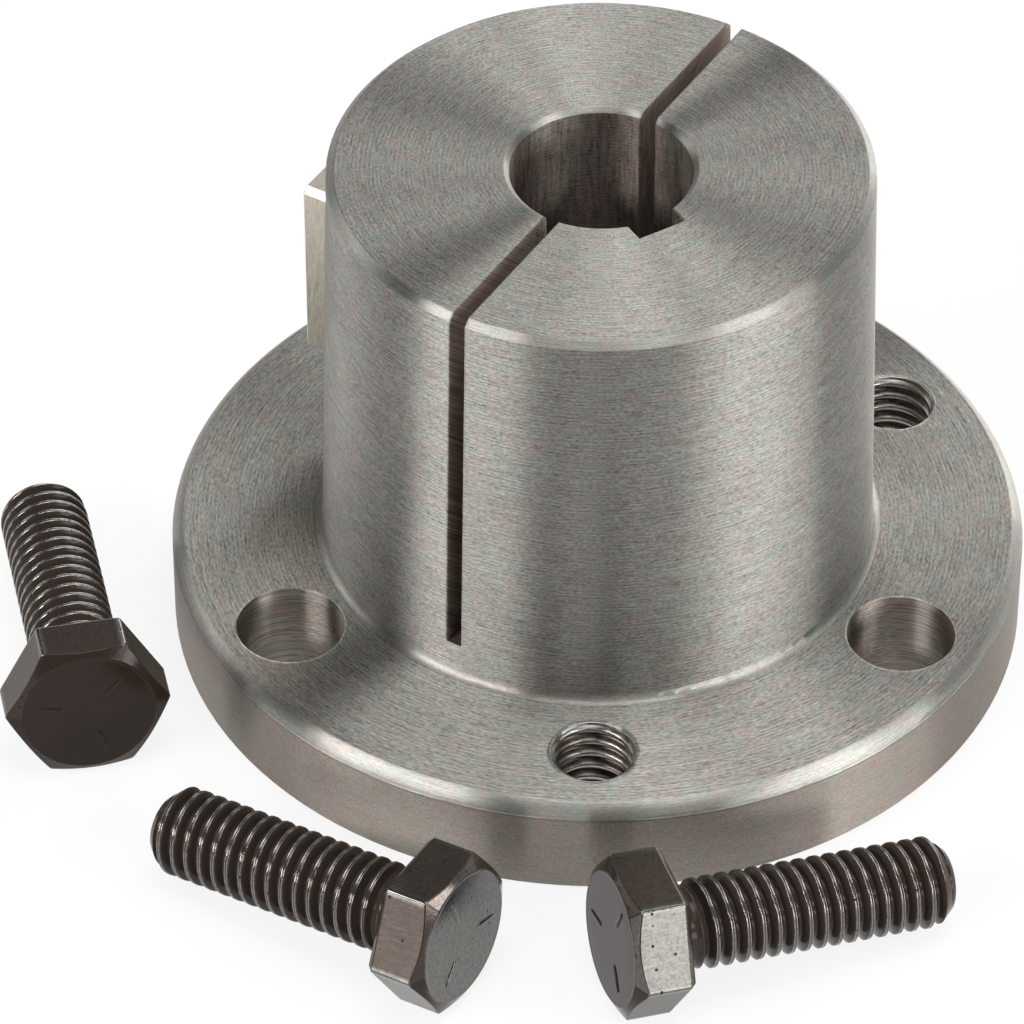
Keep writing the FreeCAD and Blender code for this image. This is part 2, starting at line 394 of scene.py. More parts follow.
def threaded_shank(plan, thread, around):
    """Radius and height of the shank's rows, from the point up to the underside of the head.

    The flanks fall from the crest's shoulder to the root as the mean of a straight line and a smooth
    step, so both ends are rounded, and the rolled crest dips between its two shoulders. The radius
    stays inside the point's cone, and fades into the neck below the head.
    """
    pitch = thread.pitch / MM
    crest, root = plan.crest_radius / MM, plan.root_radius / MM
    neck = plan.neck_radius / MM
    shoulder, root_start, crest_dip = 0.1, 0.42, 0.05
    thread_end, neck_start = -2.7, -1.2
    tip = -SCREW_LENGTH
    lowest, highest = tip + 0.08, -0.5
    count = int(thread.rows * (highest - lowest) / pitch) + 1
    height = np.linspace(lowest, highest, count)[:, None]
    gap = crest_distance(around, height, pitch)
    straight = np.clip((gap - shoulder) / (root_start - shoulder), 0, 1)
    flank = (straight + step(gap, shoulder, root_start)) / 2
    radius = crest - (crest - root) * flank - crest_dip * (1 - step(gap, 0, shoulder))
    radius = radius + (neck - radius) * step(height, thread_end, neck_start)
    cone = POINT_RADIUS + 0.05 + (SCREW_RADIUS - POINT_RADIUS) * (height - tip) / POINT_LENGTH
    radius = np.minimum(radius, cone)
    fillet_turns = np.radians([20, 45, 70, 88])[:, None]
    fillet_size, below_head = 0.42, 0.001
    fillet_radius = neck + fillet_size * (1 - np.cos(fillet_turns))
    fillet_height = -fillet_size * (1 - np.sin(fillet_turns)) - below_head
    face_shares = np.array([0.25, 0.5, 0.75, 0.93, 1.0])[:, None]
    face_radius = (POINT_RADIUS - 0.02) * face_shares
    face_height = np.full_like(face_shares, tip)
    columns = len(around)
    face_radius = np.repeat(face_radius, columns, axis=1)
    fillet_radius = np.repeat(fillet_radius, columns, axis=1)
    heights = np.vstack([face_height, height, fillet_height])
    return np.vstack([face_radius, radius, fillet_radius]), np.repeat(heights, columns, axis=1)


def screw_head(plan, around):
    """Radius and height of the head's rows, from the fillet out, up the flats and in over the face.

    The bevel around the top is a cone at 30 degrees. It meets each flat where the hexagon's radius
    reaches it, which gives the curved edges.
    """
    side = hexagon_radius(around, plan.corner_round / MM)
    inner = plan.neck_radius / MM + 0.5
    bevel = HEAD_UNDERSIDE_BEVEL
    face_dip, dip_start, dip_end = 0.02, 4.9, 5.8
    top = HEAD_HEIGHT - (side - HEAD_FACE_RADIUS) * HEAD_FACE_SLOPE
    rows = []
    for share in (0.05, 0.5, 0.95, 1.0):
        rows.append((inner + (side - bevel - inner) * share, np.zeros_like(side)))
    for share in (0.15, 0.85):
        rows.append((side - bevel * (1 - share), np.full_like(side, bevel * share)))
    for share in (0.0, 0.03, 0.25, 0.5, 0.75, 0.97, 1.0):
        rows.append((side, bevel + (top - bevel) * share))
    for share in (0.1, 0.5, 0.9, 1.0):
        radius = side + (HEAD_FACE_RADIUS - side) * share
        rows.append((radius, HEAD_HEIGHT - (radius - HEAD_FACE_RADIUS) * HEAD_FACE_SLOPE))
    for radius in (5.75, 5.5, 5.0, 4.0, 3.0, 2.0, 1.0):
        face = HEAD_HEIGHT - face_dip * step(radius, dip_start, dip_end)
        rows.append((np.full_like(side, radius), np.full_like(side, face)))
    radii, heights = zip(*rows)
    return np.array(radii), np.array(heights)


def grade_dash(turn):
    """A raised dash on the head's face, as a flattened bar with rounded ends.

    Each row is an ellipse across the bar, and its width and height shrink towards the ends as the
    fourth root of 1 - t⁴.
    """
    along = np.sin(np.linspace(-np.pi / 2, np.pi / 2, 17))[1:-1]
    around = np.linspace(0, TURN, 12, endpoint=False)
    girth = (1 - along ** 4) ** 0.25
    middle, reach, half_width, rise = 3.4, 1.2, 0.22, 0.13
    length = np.broadcast_to((middle + reach * along)[:, None], (len(along), len(around)))
    width = half_width * girth[:, None] * np.cos(around)
    height = HEAD_HEIGHT + rise * girth[:, None] * np.sin(around)
    points = np.stack([
        length * np.cos(turn) + width * np.sin(turn),
        length * np.sin(turn) - width * np.cos(turn),
        height,
    ], axis=-1)
    ends = [
        ((middle + side * reach) * np.cos(turn), (middle + side * reach) * np.sin(turn), HEAD_HEIGHT)
        for side in (-1, 1)
    ]
    return shell(points, ends)


def lay_down(corners, place):
    """Moves an upright screw's points to where it rests on a flat of its head and its point."""
    half = (SCREW_LENGTH - HEAD_HEIGHT) / 2
    flat = HEAD_ACROSS_FLATS / 2
    tilt = np.arctan2(flat - SCREW_RADIUS, SCREW_LENGTH - POINT_LENGTH + HEAD_UNDERSIDE_BEVEL)
    lean = tilt - np.pi / 2
    x, y, z = corners[:, 0], corners[:, 1], corners[:, 2] + half
    x, z = x * np.cos(lean) + z * np.sin(lean), z * np.cos(lean) - x * np.sin(lean)
    z = z + flat * np.cos(tilt) - (HEAD_UNDERSIDE_BEVEL + half) * np.sin(tilt)
    outward, turn = np.radians(place.angle), np.radians(place.angle + place.heading)
    reach = FLANGE_RADIUS + place.rim_gap + flat / np.cos(np.pi / 6)
    return np.stack([
        x * np.cos(turn) - y * np.sin(turn) + reach * np.cos(outward),
        x * np.sin(turn) + y * np.cos(turn) + reach * np.sin(outward),
        z,
    ], axis=-1)


def cap_screw(plan, thread, dash_turn):
    """One whole screw, upright, with the underside of its head at height 0."""
    around = screw_columns()
    shank_radius, shank_height = threaded_shank(plan, thread, around)
    head_radius, head_height = screw_head(plan, around)
    radius = np.vstack([shank_radius, head_radius])
    height = np.vstack([shank_height, head_height])
    points = np.stack([radius * np.cos(around), radius * np.sin(around), height], axis=-1)
    body = shell(points, [(0, 0, -SCREW_LENGTH), (0, 0, HEAD_HEIGHT)])
    dashes = [grade_dash(np.radians(dash_turn + 120 * index)) for index in range(3)]
    return joined([body] + dashes)


def note_upright(piece, upright):
    """Keeps each point's place in the upright screw, in metres, for the material to read."""
    field = piece.data.attributes.new("upright", "FLOAT_VECTOR", "POINT")
    field.data.foreach_set("vector", (upright * MM).astype(np.float32).ravel())


def note_rub_and_sheen(piece, upright, place):
    """Keeps how far the oxide is rubbed thin, with painted sheen and glints mixed in: on the face, two
    flats, the corners and the crests.
    """
    radius = np.hypot(upright[:, 0], upright[:, 1])
    height = upright[:, 2]
    around = np.degrees(np.arctan2(upright[:, 1], upright[:, 0]))
    upper_flat, half_flat, corner_wear_and_glint = 0, 29.5, 0.5
    side_height, side_radius = 0.2, 5.9
    corner_start, corner_full = 7.12, 7.22
    crest_start, crest_full = 3.89, 3.94
    on_side = (height > side_height) & (radius > side_radius)

    def on_flat(angle):
        return (np.abs((around - angle + 180) % 360 - 180) < half_flat) & on_side

    parts = (
        place.face_wear_and_sheen * step(height, HEAD_HEIGHT - 0.06, HEAD_HEIGHT - 0.02),
        place.upper_wear_and_sheen * on_flat(upper_flat),
        place.near_wear_and_sheen * on_flat(place.near_flat),
        corner_wear_and_glint * step(radius, corner_start, corner_full) * step(height, side_height, 0.5),
        place.crest_wear_and_glint * step(radius, crest_start, crest_full) * step(-height, 1.0, 2.0),
    )
    field = piece.data.attributes.new("rub_and_sheen", "FLOAT", "POINT")
    field.data.foreach_set("value", np.max(parts, axis=0).astype(np.float32))


# Materials

class Recipe:
    """Adds nodes to a material or to the world, in the order in which they are worked out."""

    def __init__(self, owner):
        owner.use_nodes = True
        self.tree = owner.node_tree
        self.tree.nodes.clear()

    def add(self, kind, inputs=None, **settings):
        made = self.tree.nodes.new(kind)
        for name, value in settings.items():
            setattr(made, name, value)
        for name, value in (inputs or {}).items():
            if isinstance(value, bpy.types.NodeSocket):
                self.tree.links.new(value, made.inputs[name])
            else:
                made.inputs[name].default_value = value
        return made

    def math(self, operation, *values, clamp=False):
        made = self.add("ShaderNodeMath", dict(enumerate(values)),
                        operation=operation, use_clamp=clamp)
        return made.outputs[0]

    def vector(self, operation, *values, output=0):
        made = self.add("ShaderNodeVectorMath", dict(enumerate(values)), operation=operation)
        return made.outputs[output]

    def fade(self, value, start, end, low=0.0, high=1.0):
        """A smooth change from low to high as a value goes from start to end."""
        made = self.add("ShaderNodeMapRange", {0: value, 1: start, 2: end, 3: low, 4: high},
                        interpolation_type="SMOOTHSTEP")
        return made.outputs[0]

    def times(self, first, second):
        return self.math("MULTIPLY", first, second)

    def plus(self, first, *others):
        for other in others:
            first = self.math("ADD", first, other)
        return first

    def either(self, first, *others):
        """The largest of several masks."""
        for other in others:
            first = self.math("MAXIMUM", first, other)
        return first

    def nearest(self, first, *others):
        """The smallest of several distances."""
        for other in others:
            first = self.math("MINIMUM", first, other)
        return first

    def between(self, value, low, high, soft=0.02):
        """A mask: 1 from low to high in millimetres, with soft edges, and 0 elsewhere."""
        rise = self.fade(value, (low - soft) * MM, (low + soft) * MM)
        return self.times(rise, self.fade(value, (high + soft) * MM, (high - soft) * MM))

    def swing(self, noise, gain):
        """A noise about 0 instead of 0.5, times a gain."""
        return self.times(self.math("SUBTRACT", noise, 0.5), gain)

    def noise(self, vector, scale=1.0, detail=2.0, roughness=0.5):
        made = self.add("ShaderNodeTexNoise", {
            "Vector": vector, "Scale": scale, "Detail": detail, "Roughness": roughness})
        return made.outputs[0]

    def tone(self, factor, first, second):
        """A number between first and second."""
        return self.add("ShaderNodeMix", {0: factor, 2: first, 3: second}).outputs[0]

    def tint(self, factor, first, second, blend="MIX"):
        made = self.add("ShaderNodeMix", {0: factor, 6: first, 7: second},
                        data_type="RGBA", blend_type=blend, clamp_factor=True)
        return made.outputs[2]

    def toned(self, base, tone):
        """A colour times a number."""
        grey = self.add("ShaderNodeCombineColor", {0: tone, 1: tone, 2: tone}).outputs[0]
        return self.tint(1.0, base, grey, blend="MULTIPLY")

    def bump(self, height, distance, **inputs):
        """The normal of a surface that rises by a distance in metres where height goes from 0 to 1."""
        made = self.add("ShaderNodeBump", {
            "Strength": 1.0, "Distance": distance, "Height": height, **inputs})
        return made.outputs[0]

    def surface(self, inputs):
        """Ends the material in a Principled shader with these inputs."""
        shader = self.add("ShaderNodeBsdfPrincipled", inputs)
        self.add("ShaderNodeOutputMaterial", {0: shader.outputs[0]})


def colour(values):
    return (*values, 1.0)


def off_holes(mix, level, angles):
    """How far a point is from the axis of the nearest of the holes at these angles."""
    axes = [tuple(compass(angle) * BOLT_CIRCLE_RADIUS * MM) for angle in angles]
    return mix.nearest(*(mix.vector("DISTANCE", level, axis, output=1) for axis in axes))


# How far past a face a mask reaches, in millimetres
PAST = 1.0
# The radii between which only the screw holes cut the flange, and how far the keyway's walls reach
# past the bore's radius
HOLES_FROM = BOLT_CIRCLE_RADIUS - 5.6
HOLES_TO = BOLT_CIRCLE_RADIUS + 6.0
KEYWAY_REACH = 2.3


def body_parts(mix, place, level, radius, height):
    """Masks for the parts of the turned body, each 1 on its part and 0 elsewhere.

    Most are rings: between two radii and between two heights. The slit's masks also use the
    distance from its middle plane, and the plain holes' mouths the distance from the nearest axis.
    """
    def ring(inner, outer, low, high, soft=0.02, soft_height=0.02):
        return mix.times(mix.between(radius, inner, outer, soft),
                         mix.between(height, low, high, soft_height))

    rim_top = FLANGE_THICKNESS - FLANGE_EDGE_DROP
    barrel_rim = BARREL_HEIGHT - BORE_CHAMFER
    flange_edge = ring(FLANGE_RADIUS - FLANGE_EDGE_WIDTH, FLANGE_RADIUS + PAST,
                       rim_top, FLANGE_THICKNESS + PAST)
    tip_edge = ring(TIP_RADIUS - TIP_CHAMFER, TIP_RADIUS + PAST,
                    BARREL_HEIGHT - TIP_CHAMFER, BARREL_HEIGHT + PAST)
    mouth_edge = ring(0, BORE_RADIUS + BORE_CHAMFER, barrel_rim, BARREL_HEIGHT + PAST, 0.01, 0.01)
    foot = ring(FOOT_RADIUS - 0.1, FOOT_RADIUS + FOOT_ROUND,
                FLANGE_THICKNESS + 0.01, FLANGE_THICKNESS + FOOT_ROUND, 0.04, 0.01)

    slit_normal = (-np.sin(np.radians(SLIT_ANGLE)), np.cos(np.radians(SLIT_ANGLE)), 0)
    off_slit = mix.math("ABSOLUTE", mix.vector("DOT_PRODUCT", place, slit_normal, output=1))
    slit_walls = mix.times(mix.between(off_slit, -PAST, SLIT_HALF_WIDTH + 0.02, 0.01),
                           ring(BORE_RADIUS, TIP_RADIUS + 0.9,
                                SLIT_END - 0.05, BARREL_HEIGHT - 0.02, soft_height=0.01))
    # Painted shade: the slit's floor is darkened in the steel's tone
    shaded_slit_floor = mix.times(mix.between(off_slit, -PAST, SLIT_HALF_WIDTH - 0.01, 0.01),
                           ring(BORE_RADIUS, FOOT_RADIUS + PAST,
                                SLIT_END - 0.1, SLIT_END + 0.1, soft_height=0.01))

    off_hole = off_holes(mix, level, CLEARANCE_ANGLES)
    # Painted glints: thin rings at the clearance holes' mouths and along the rim's top edge, lightened
    # in the steel's tone
    hole_mouth = mix.times(mix.between(off_hole, CLEARANCE_RADIUS - 0.05, CLEARANCE_RADIUS + 0.1),
                           mix.between(height, FLANGE_THICKNESS - 0.12, FLANGE_THICKNESS + 0.1))
    burr_glint = ring(FLANGE_RADIUS - 0.15, FLANGE_RADIUS + PAST,
                rim_top - 0.06, rim_top + 0.05, soft_height=0.03)
    return {
        "edges": mix.either(flange_edge, tip_edge, mouth_edge, foot),
        "rim": ring(FLANGE_RADIUS - 0.12, FLANGE_RADIUS + PAST, -PAST, rim_top - 0.05),
        "flange": ring(FOOT_RADIUS + FOOT_ROUND, FLANGE_RADIUS - 0.12,
                       FLANGE_THICKNESS - 1.2, FLANGE_THICKNESS + PAST),
        "bore": ring(-PAST, BORE_RADIUS + KEYWAY_REACH, -PAST, barrel_rim),
        "slit": slit_walls,
        "shaded_slit_floor": shaded_slit_floor,
        "holes": ring(HOLES_FROM, HOLES_TO, 0.02, FLANGE_THICKNESS - 0.02, soft_height=0.01),
        "glint_edges": mix.either(hole_mouth, burr_glint),
        # Painted shadow: a thin band under the rim's top edge, darkened in the steel's tone
        "shade_under_burr": ring(FLANGE_RADIUS - 0.15, FLANGE_RADIUS + PAST,
                           rim_top - 0.24, rim_top - 0.09, soft_height=0.03),
    }


def turning_marks(mix, place, level, radius, height, holes):
    """Noises for the marks that a lathe leaves, and for stains, grit and the scores in the bore.

    The marks are noise read at (direction around the bore times shortness, groove / spacing), where
    groove is height - radius, or height + radius by the bore. So spacing sets how fine they are, on
    the chamfers too. Inside the flange's holes groove is the height alone. The feed marks are a sine
    of the groove, bent by the clouds and strong in some places only.
    """
    around = mix.vector("NORMALIZE", level)
    outward = mix.fade(radius, (BORE_RADIUS + 0.6) * MM, (BORE_RADIUS + 0.7) * MM, 1.0, -1.0)
    outward = mix.times(outward, mix.fade(holes, 0.0, 1.0, 1.0, 0.0))
    groove = mix.plus(height, mix.times(radius, outward))

    def marks(shortness, spacing):
        rings = mix.add("ShaderNodeCombineXYZ", {2: mix.math("DIVIDE", groove, spacing * MM)})
        turned = mix.add("ShaderNodeVectorMath", {
            0: around, 1: (shortness,) * 3, 2: rings.outputs[0]}, operation="MULTIPLY_ADD")
        return mix.noise(turned.outputs[0], roughness=0.6)

    clouds = mix.noise(place, scale=140.0)
    feed_pitch, feed_bend = 0.37 * MM, 9.0
    sweep = mix.plus(mix.times(groove, TURN / feed_pitch), mix.times(clouds, feed_bend))
    return {
        "grain": marks(64.0, 0.11),
        "rings": marks(9.0, 0.22),
        "feed": mix.times(mix.math("SINE", sweep), mix.fade(marks(14.0, 1.1), 0.35, 0.65)),
        "clouds": clouds,
        "patches": mix.noise(place, scale=550.0, roughness=0.6),
        "grit": mix.noise(place, scale=7000.0),
        "scores": mix.noise(mix.vector("MULTIPLY", place, (2400, 2400, 260)),
                            detail=3.0, roughness=0.65),
    }


def steel_tone(mix, plan, parts, marks):
    """How light the steel is: turning marks, grit on the rim and the edges, scores along the bore, and
    painted light: a lighter flange top over a darker rest, glints on sharp edges, a shadow under the
    rim's top edge and shade on the slit's floor.
    """
    tone = mix.plus(mix.swing(marks["grain"], plan.grain * 3.4),
                    mix.swing(marks["rings"], plan.grain * 1.6))
    tone = mix.plus(tone, mix.times(marks["feed"], plan.grain * 0.26))
    tone = mix.plus(tone, mix.swing(marks["clouds"], 0.25), 1.0)
    tone = mix.math("MAXIMUM", tone, 0.3)
    tone = mix.tone(mix.times(parts["rim"], 0.7), tone,
                    mix.plus(mix.swing(marks["grit"], 1.4), 1.0))
    tone = mix.tone(mix.times(parts["edges"], 0.5), tone,
                    mix.plus(mix.swing(marks["grit"], 0.9), 1.1))
    tone = mix.plus(tone, mix.times(parts["bore"], mix.swing(marks["scores"], 2.0)))
    tone = mix.math("MAXIMUM", tone, 0.25)
    painted_glints = mix.times(parts["glint_edges"], mix.fade(marks["clouds"], 0.35, 0.6))
    # Painted light and shade: the flange's top is lightened and the rest darkened, the sharp edges get
    # painted glints, the band under the rim's top edge a painted shadow and the slit's floor painted
    # shade
    for part, elsewhere, there in (
        (parts["flange"], 0.94, 1.07),
        (painted_glints, 1.0, 1.7),
        (parts["shade_under_burr"], 1.0, 0.72),
        (parts["shaded_slit_floor"], 1.0, 0.15),
    ):
        tone = mix.times(tone, mix.tone(part, elsewhere, there))
    return tone


def steel_colour(mix, plan, parts, marks):
    """The steel's colour by part, with faint patches that lean to pink and to green. The rim and the
    holes carry painted shade, the bore painted shade and the slit's walls painted light.
    """
    base = colour(plan.steel_colour)
    for part, paint in (
        ("rim", plan.rim_colour_and_shade),
        ("holes", plan.rim_colour_and_shade),
        ("bore", plan.bore_shade_colour),
        ("slit", plan.slit_lifted_colour),
    ):
        base = mix.tint(parts[part], base, colour(paint))
    pinkish, greenish = colour((1.04, 0.975, 0.965)), colour((0.96, 1.02, 0.99))
    shade = mix.tint(mix.fade(marks["patches"], 0.38, 0.62), pinkish, greenish)
    return mix.tint(1.0, base, shade, blend="MULTIPLY")


def turned_steel(plan):
    """Lathe-turned steel: marks run around the bore on every face, and stretch the light across them.

    A bevel rounds the light on the sharp edges. The tangent circles the bore, and in the flange's
    holes it runs level along their walls.
    """
    material = bpy.data.materials.new("turned_steel")
    mix = Recipe(material)
    place = mix.add("ShaderNodeTexCoord").outputs["Object"]
    level = mix.vector("MULTIPLY", place, (1, 1, 0))
    radius = mix.vector("LENGTH", level, output=1)
    height = mix.add("ShaderNodeSeparateXYZ", {0: place}).outputs[2]
    parts = body_parts(mix, place, level, radius, height)
    marks = turning_marks(mix, place, level, radius, height, parts["holes"])
    base = mix.toned(steel_colour(mix, plan, parts, marks), steel_tone(mix, plan, parts, marks))

    roughness = mix.plus(plan.roughness, mix.swing(marks["grain"], 0.1))
    roughness = mix.plus(roughness, mix.times(mix.either(parts["bore"], parts["slit"]), 0.3))
    roughness = mix.math("SUBTRACT", roughness, mix.times(parts["rim"], 0.07))
    roughness = mix.tone(parts["edges"], roughness, mix.plus(mix.swing(marks["grit"], 0.1), 0.36))

    relief = mix.plus(mix.times(marks["grain"], 0.7), mix.times(marks["rings"], 0.5),
                      mix.times(marks["feed"], 0.15))
    rounded = mix.add("ShaderNodeBevel", {"Radius": 0.28 * MM}, samples=4).outputs[0]

    normal = mix.add("ShaderNodeTexCoord").outputs["Normal"]
    circling = mix.vector("NORMALIZE", mix.vector("CROSS_PRODUCT", (0, 0, 1), place))
    level_wall = mix.vector("NORMALIZE", mix.vector("CROSS_PRODUCT", (0, 0, 1), normal))
    tangent = mix.add("ShaderNodeMix", {0: parts["holes"], 4: circling, 5: level_wall},
                      data_type="VECTOR").outputs[1]
    tangent = mix.add("ShaderNodeVectorTransform", {0: tangent}, vector_type="VECTOR",
                      convert_from="OBJECT", convert_to="WORLD").outputs[0]
    mix.surface({
        "Base Color": base, "Metallic": 1.0, "Roughness": roughness,
        "Normal": mix.bump(relief, 0.00001, Normal=rounded),
        "Tangent": tangent, "Anisotropic": 1.0, "Anisotropic Rotation": 0.25})
    return material


def key_steel(plan):
    """Cold-drawn key steel: fine lengthwise streaks and small dark specks."""
    material = bpy.data.materials.new("key_steel")
    mix = Recipe(material)
    place = mix.add("ShaderNodeTexCoord").outputs["Object"]
    drawn = mix.add("ShaderNodeMapping", {"Vector": place, "Scale": (9000, 9000, 700)}).outputs[0]
    streaks = mix.noise(drawn, detail=3.0, roughness=0.6)
    specks = mix.noise(place, scale=2600.0)
    tone = mix.fade(streaks, 0.3, 0.7, 0.82, 1.12)
    tone = mix.times(tone, mix.fade(specks, 0.28, 0.4, 0.8, 1.0))
    mix.surface({
        "Base Color": mix.toned(colour(plan.key_colour), tone), "Metallic": 1.0,
        "Roughness": mix.fade(streaks, 0.3, 0.7, 0.32, 0.44),
        "Normal": mix.bump(streaks, 0.000004)})
    return material


def cut_thread_steel(plan, thread):
    """Steel cut by a tap: bright on the crests and the mouth, and darker and browner down in the
    grooves, a painted shade.

    How deep a point lies is its distance from the nearest hole's axis.
    """
    material = bpy.data.materials.new("cut_thread_steel")
    mix = Recipe(material)
    place = mix.add("ShaderNodeTexCoord").outputs["Object"]
    level = mix.vector("MULTIPLY", place, (1, 1, 0))
    off_hole = off_holes(mix, level, JACKING_ANGLES)
    depth = mix.fade(off_hole, thread.crest_radius + 0.02 * MM, thread.crest_radius + 0.3 * MM)
    height = mix.add("ShaderNodeSeparateXYZ", {0: place}).outputs[2]
    mouth = mix.fade(height, (FLANGE_THICKNESS - 0.5) * MM, (FLANGE_THICKNESS - 0.3) * MM)
    depth = mix.times(depth, mix.math("SUBTRACT", 1.0, mouth))
    cuts = mix.add("ShaderNodeMapping", {"Vector": place, "Scale": (1500, 1500, 9000)}).outputs[0]
    marks = mix.noise(cuts, detail=3.0, roughness=0.6)
    # Painted shade: darker towards the bottoms of the grooves
    base = mix.tint(depth, colour(plan.steel_colour), colour(plan.groove_shade_colour))
    mix.surface({
        "Base Color": mix.toned(base, mix.fade(marks, 0.3, 0.7, 0.7, 1.25)), "Metallic": 1.0,
        "Roughness": mix.fade(marks, 0.3, 0.7, 0.26, 0.4),
        "Normal": mix.bump(marks, 0.000006)})
    return material


def black_oxide(plan):
    """Oiled black oxide: glossy dark brown, rubbed thin in places, with scratches and small pits. The
    rubbed places also carry painted sheen and glints, and the thread's oxide is lightened as painted
    light.

    The scratches run along each screw's axis: they are noise on the upright screw's coordinates,
    drawn out in its height.
    """
    material = bpy.data.materials.new("black_oxide")
    mix = Recipe(material)
    place = mix.add("ShaderNodeTexCoord").outputs["Object"]
    upright = mix.add("ShaderNodeAttribute", attribute_name="upright").outputs["Vector"]
    rub_and_sheen = mix.add("ShaderNodeAttribute", attribute_name="rub_and_sheen").outputs["Fac"]
    drawn = mix.vector("MULTIPLY", upright, (5200, 5200, 650))
    scratches = mix.noise(drawn, detail=3.0, roughness=0.6)
    scuffs = mix.noise(place, scale=300.0, detail=3.0, roughness=0.6)
    fine = mix.noise(place, scale=3200.0, roughness=0.6)
    pits = mix.add("ShaderNodeTexVoronoi", {"Vector": place, "Scale": 900.0}).outputs["Distance"]
    pit = mix.times(mix.fade(pits, 0.08, 0.15, 1.0, 0.0), mix.fade(rub_and_sheen, 0.03, 0.06))

    # Rubbed oxide, partly real wear and partly painted sheen and glints
    worn_and_sheen = mix.times(rub_and_sheen, mix.fade(scratches, 0.36, 0.64, 0.9, 1.08))
    worn_and_sheen = mix.times(worn_and_sheen, mix.fade(fine, 0.35, 0.6, 0.8, 1.1))
    scraped = mix.times(mix.fade(scratches, 0.52, 0.72), mix.fade(scuffs, 0.42, 0.62))
    worn_and_sheen = mix.math("ADD", worn_and_sheen, mix.times(scraped, 0.05), clamp=True)
    bare_share = mix.fade(worn_and_sheen, 0.19, 0.23)
    bare = mix.tint(bare_share, colour(plan.brown_colour), colour(plan.worn_colour))
    # On the shank the oxide is lightened as painted light
    along = mix.add("ShaderNodeSeparateXYZ", {0: upright}).outputs[2]
    on_shank = mix.fade(along, -0.3 * MM, 0.0, 1.0, 0.0)
    oxide = mix.tint(on_shank, colour(plan.oxide_colour), colour(plan.thread_lifted_colour))
    base = mix.tint(pit, mix.tint(worn_and_sheen, oxide, bare), colour(plan.pit_colour))

    metal = mix.math("DIVIDE", worn_and_sheen, mix.plus(mix.times(worn_and_sheen, 0.91), 0.09))
    metal = mix.times(metal, mix.fade(pit, 0.0, 1.0, 1.0, 0.0))
    roughness = mix.plus(mix.fade(scuffs, 0.35, 0.7, 0.08, 0.17), mix.times(worn_and_sheen, 0.12),
                         mix.fade(fine, 0.5, 0.75, 0.0, 0.06))
    relief = mix.plus(mix.times(scuffs, 0.5), mix.times(fine, 0.12), mix.times(scratches, 0.45))
    relief = mix.math("SUBTRACT", relief, mix.times(pit, 0.6))
    mix.surface({
        "Base Color": base, "Metallic": metal, "Roughness": roughness, "IOR": plan.oil_index,
        "Normal": mix.bump(relief, 0.00002)})
    return material


# Stage

# Each lamp's name, its angle around the object and above the floor in degrees, its distance, width and
# height in metres, and its radiance
LAMPS = (
    ("overhead_lamp", 0, 88, 1.3, 0.6, 0.6, 4.4),
    ("upper_right_back_lamp", 45, 60, 1.3, 0.53, 0.53, 1.7),
    ("upper_front_lamp", 305, 62, 1.3, 0.4, 0.4, 1.5),
    ("right_back_lamp", 60, 35, 1.3, 0.57, 0.53, 1.85),
    ("back_lamp", 90, 37, 1.3, 0.4, 0.2, 1.2),
    ("low_back_lamp", 75, 12, 1.3, 1.3, 0.53, 2.4),
    ("left_back_lamp", 150, 35, 1.3, 0.57, 0.53, 1.7),
    ("left_front_lamp", 218, 35, 1.3, 0.85, 0.2, 14.0),
    ("upper_right_lamp", 331, 35, 1.3, 0.57, 0.2, 7.6),
    ("low_right_lamp", 337, 12, 1.3, 0.9, 0.2, 8.0),
    ("low_front_lamp", 310, 11, 1.1, 0.28, 0.24, 4.4),
    ("low_left_lamp", 210, 8, 1.2, 0.3, 0.22, 3.6),
)


def lamp(name, angle, height, distance, width, tall, radiance):
    """A soft rectangular lamp that faces the object. Its power is four times radiance times area."""
    light = bpy.data.lights.new(name, "AREA")
    light.shape, light.size, light.size_y = "RECTANGLE", width, tall
    light.energy = radiance * 4 * width * tall
    made = bpy.data.objects.new(name, light)
    made.location = compass(angle, height) * distance
    made.rotation_euler = compass(angle, height).to_track_quat("Z", "Y").to_euler()
    made.visible_camera = False
    bpy.context.scene.collection.objects.link(made)


def white_floor(plan):
    """A pale floor. The camera and mirrors see mostly white light of its own, so it looks white."""
    material = bpy.data.materials.new("white_floor")
    mix = Recipe(material)
    path = mix.add("ShaderNodeLightPath").outputs
    seen = mix.either(path["Is Camera Ray"], path["Is Glossy Ray"], path["Is Transmission Ray"])
    paint = mix.add("ShaderNodeBsdfDiffuse", {"Color": colour(plan.floor_colour)}).outputs[0]
    white = mix.add("ShaderNodeEmission", {"Color": (1, 1, 1, 1), "Strength": 1.0}).outputs[0]
    glow = mix.times(seen, plan.floor_glow)
    shown = mix.add("ShaderNodeMixShader", {0: glow, 1: paint, 2: white}).outputs[0]
    mix.add("ShaderNodeOutputMaterial", {0: shown})
    return material


def studio_world(plan):
    """White along the horizon and below, and a dimmer ceiling above, by the sine of the height."""
    world = bpy.data.worlds.new("studio")
    bpy.context.scene.world = world
    mix = Recipe(world)
    look = mix.add("ShaderNodeTexCoord").outputs["Generated"]
    lift = mix.add("ShaderNodeSeparateXYZ", {0: look}).outputs[2]
    level = mix.fade(lift, 0.08, 0.16, 1.0, plan.ceiling_light)
    shown = mix.add("ShaderNodeBackground", {"Color": (1, 1, 1, 1), "Strength": level}).outputs[0]
    mix.add("ShaderNodeOutputWorld", {0: shown})


# Operators, one for each piece or group of like pieces

